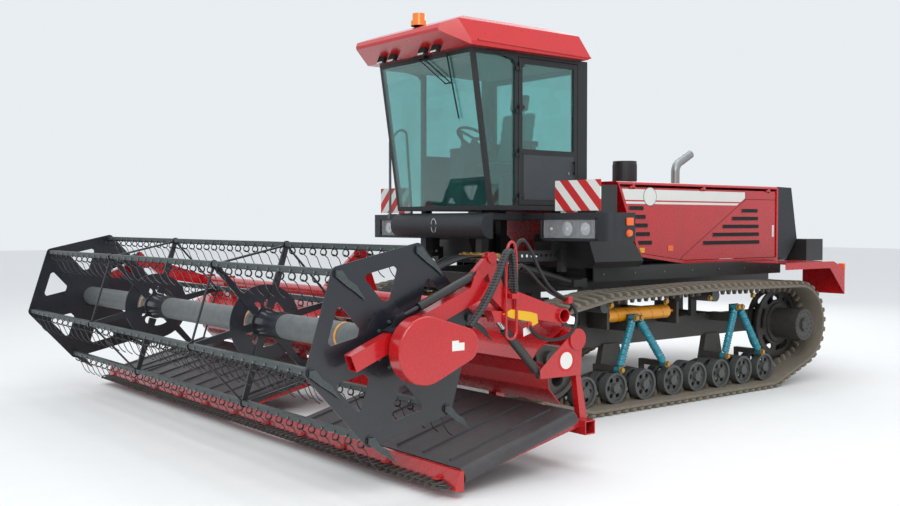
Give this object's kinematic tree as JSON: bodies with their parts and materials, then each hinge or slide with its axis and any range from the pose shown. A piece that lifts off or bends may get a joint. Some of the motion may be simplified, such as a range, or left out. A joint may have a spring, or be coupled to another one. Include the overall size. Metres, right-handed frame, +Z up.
{
  "type": "tracked self-propelled windrower",
  "caption": "Rubber-tracked self-propelled windrower with a glazed cab, rear engine hood, wide draper header and a pickup reel on lifting arms.",
  "frame": {"origin": "on the ground, under the middle of the machine's length and width", "axes": "+X forward along the length, +Y to the driver's left, +Z up"},
  "size_m": [8.2155, 6.16, 3.811],
  "materials": {
    "track_rubber": "dusty moulded rubber",
    "black_paint": "satin black paint",
    "red_paint": "gloss red paint",
    "roof_plastic": "gloss moulded plastic",
    "shock_blue": "gloss paint",
    "amber_paint": "gloss paint",
    "clear_glass": "tinted safety glass",
    "seat_cloth": "woven cloth",
    "cab_plastic": "grained plastic",
    "lamp_lens": "clear lens over a reflector",
    "board_red_white": "striped reflective sheet",
    "grey_steel": "zinc plated",
    "exhaust_steel": "heat dulled stainless steel",
    "cast_iron": "painted casting",
    "belt_rubber": "cleated rubber belt",
    "reel_black": "blue-black paint",
    "reel_tube_grey": "weathered grey paint",
    "galvanised": "hot-dip galvanised",
    "beacon_amber": "amber lens",
    "brass_fittings": "yellow passivated",
    "rod_chrome": "hard chrome"
  },
  "bodies": {
    "chassis": {"main_frame": "black_paint", "tracks": "track_rubber", "track_frames": "black_paint", "road_rollers": "black_paint", "drive_sprockets": "black_paint", "front_idlers": "black_paint", "track_tensioners": "amber_paint", "shock_absorbers": "shock_blue", "cab_frame": "black_paint", "cab_glass": "clear_glass", "cab_roof": "roof_plastic", "beacon": "beacon_amber", "driver_seat": "seat_cloth", "driver_controls": "cab_plastic", "front_bumper": "cab_plastic", "headlights": "lamp_lens", "warning_boards": "board_red_white", "access_rails": "grey_steel", "handrail": "black_paint", "hood_shell": "red_paint", "rear_grille": "black_paint", "engine_block": "cast_iron", "air_intake": "cab_plastic", "exhaust_pipe": "exhaust_steel", "side_tanks": "red_paint", "rear_fenders": "red_paint", "rear_box": "black_paint", "tow_hitch": "black_paint"},
    "cab_door": {"cab_door": "black_paint", "door_glass": "clear_glass"},
    "hood_panel_left": {"hood_panel_left": "red_paint"},
    "hood_panel_right": {"hood_panel_right": "red_paint"},
    "header": {"header_frame": "red_paint", "lift_arms": "red_paint", "deck_arms": "red_paint", "back_sheets": "red_paint", "cutter_beam": "red_paint", "ledger_bar": "grey_steel", "valve_block": "brass_fittings", "draper_left": "belt_rubber", "draper_right": "belt_rubber"},
    "knife": {"knife": "grey_steel"},
    "lift_barrels": {"lift_barrels": "black_paint"},
    "lift_rods": {"lift_rods": "rod_chrome"},
    "reel_arms": {"reel_arms": "red_paint", "shift_barrels": "black_paint"},
    "reel_carriage": {"reel_carriages": "red_paint", "reel_drive_cover": "red_paint"},
    "reel": {"reel_tube": "reel_tube_grey", "reel_end_plates": "reel_black", "reel_spiders": "reel_black"},
    "reel_lift_barrels": {"reel_lift_barrels": "black_paint"},
    "reel_lift_rods": {"reel_lift_rods": "rod_chrome"},
    "bat_1": {"reel_bat_1": "galvanised"},
    "bat_2": {"reel_bat_2": "galvanised"},
    "bat_3": {"reel_bat_3": "galvanised"},
    "bat_4": {"reel_bat_4": "galvanised"},
    "bat_5": {"reel_bat_5": "galvanised"},
    "bat_6": {"reel_bat_6": "galvanised"}
  },
  "joints": [
    {"name": "header_lift", "type": "hinge", "parent": "chassis", "child": "header", "pos_m": [0.9, 0, 0.65], "axis": [0, -1, 0], "range_deg": [0, 15]},
    {"name": "lift_barrel_swing", "type": "hinge", "parent": "chassis", "child": "lift_barrels", "pos_m": [0.12, 0, 1.18], "axis": [0, -1, 0], "range_deg": [0, 6.33]},
    {"name": "lift_rod_slide", "type": "slide", "parent": "lift_barrels", "child": "lift_rods", "axis": [0.9691, 0, 0.2468], "range_m": [-0.1973, 0]},
    {"name": "reel_lift", "type": "hinge", "parent": "header", "child": "reel_arms", "pos_m": [2.108, 0, 1.11], "axis": [0, -1, 0], "range_deg": [0, 22]},
    {"name": "reel_barrel_swing", "type": "hinge", "parent": "header", "child": "reel_lift_barrels", "pos_m": [2.29, 0, 0.7], "axis": [0, -1, 0], "range_deg": [0, 15.09]},
    {"name": "reel_rod_slide", "type": "slide", "parent": "reel_lift_barrels", "child": "reel_lift_rods", "axis": [0.7002, 0, 0.7139], "range_m": [0, 0.153]},
    {"name": "reel_fore_aft", "type": "slide", "parent": "reel_arms", "child": "reel_carriage", "axis": [0.9272, 0, -0.3746], "range_m": [0, 0.3]},
    {"name": "reel_spin", "type": "hinge", "parent": "reel_carriage", "child": "reel", "pos_m": [3.45, 0, 0.993], "axis": [0, 1, 0], "continuous": true},
    {"name": "bat_1_turn", "type": "hinge", "parent": "reel", "child": "bat_1", "pos_m": [3.26116, 0, 1.59193], "axis": [0, 1, 0], "continuous": true},
    {"name": "bat_2_turn", "type": "hinge", "parent": "reel", "child": "bat_2", "pos_m": [3.87427, 0, 1.45601], "axis": [0, 1, 0], "continuous": true},
    {"name": "bat_3_turn", "type": "hinge", "parent": "reel", "child": "bat_3", "pos_m": [4.06311, 0, 0.85708], "axis": [0, 1, 0], "continuous": true},
    {"name": "bat_4_turn", "type": "hinge", "parent": "reel", "child": "bat_4", "pos_m": [3.63884, 0, 0.39407], "axis": [0, 1, 0], "continuous": true},
    {"name": "bat_5_turn", "type": "hinge", "parent": "reel", "child": "bat_5", "pos_m": [3.02573, 0, 0.52999], "axis": [0, 1, 0], "continuous": true},
    {"name": "bat_6_turn", "type": "hinge", "parent": "reel", "child": "bat_6", "pos_m": [2.83689, 0, 1.12892], "axis": [0, 1, 0], "continuous": true},
    {"name": "knife_stroke", "type": "slide", "parent": "header", "child": "knife", "axis": [0, 1, 0], "range_m": [-0.038, 0.038]},
    {"name": "cab_door", "type": "hinge", "parent": "chassis", "child": "cab_door", "pos_m": [0.548, 0.769, 2.6], "axis": [0, 0, -1], "range_deg": [0, 65]},
    {"name": "hood_panel_left", "type": "hinge", "parent": "chassis", "child": "hood_panel_left", "pos_m": [-1.95, 0.996, 2.134], "axis": [1, 0, 0], "range_deg": [0, 75]},
    {"name": "hood_panel_right", "type": "hinge", "parent": "chassis", "child": "hood_panel_right", "pos_m": [-1.95, -0.996, 2.134], "axis": [-1, 0, 0], "range_deg": [0, 75]}
  ],
  "couplings": [
    {"joint": "lift_barrel_swing", "follows": "header_lift", "ratio": 0.4135},
    {"joint": "lift_rod_slide", "follows": "header_lift", "m_per_rad": -0.739},
    {"joint": "reel_barrel_swing", "follows": "reel_lift", "ratio": 0.6724},
    {"joint": "reel_rod_slide", "follows": "reel_lift", "m_per_rad": 0.3907},
    {"joint": "bat_1_turn", "follows": "reel_spin", "ratio": -1},
    {"joint": "bat_2_turn", "follows": "reel_spin", "ratio": -1},
    {"joint": "bat_3_turn", "follows": "reel_spin", "ratio": -1},
    {"joint": "bat_4_turn", "follows": "reel_spin", "ratio": -1},
    {"joint": "bat_5_turn", "follows": "reel_spin", "ratio": -1},
    {"joint": "bat_6_turn", "follows": "reel_spin", "ratio": -1}
  ]
}
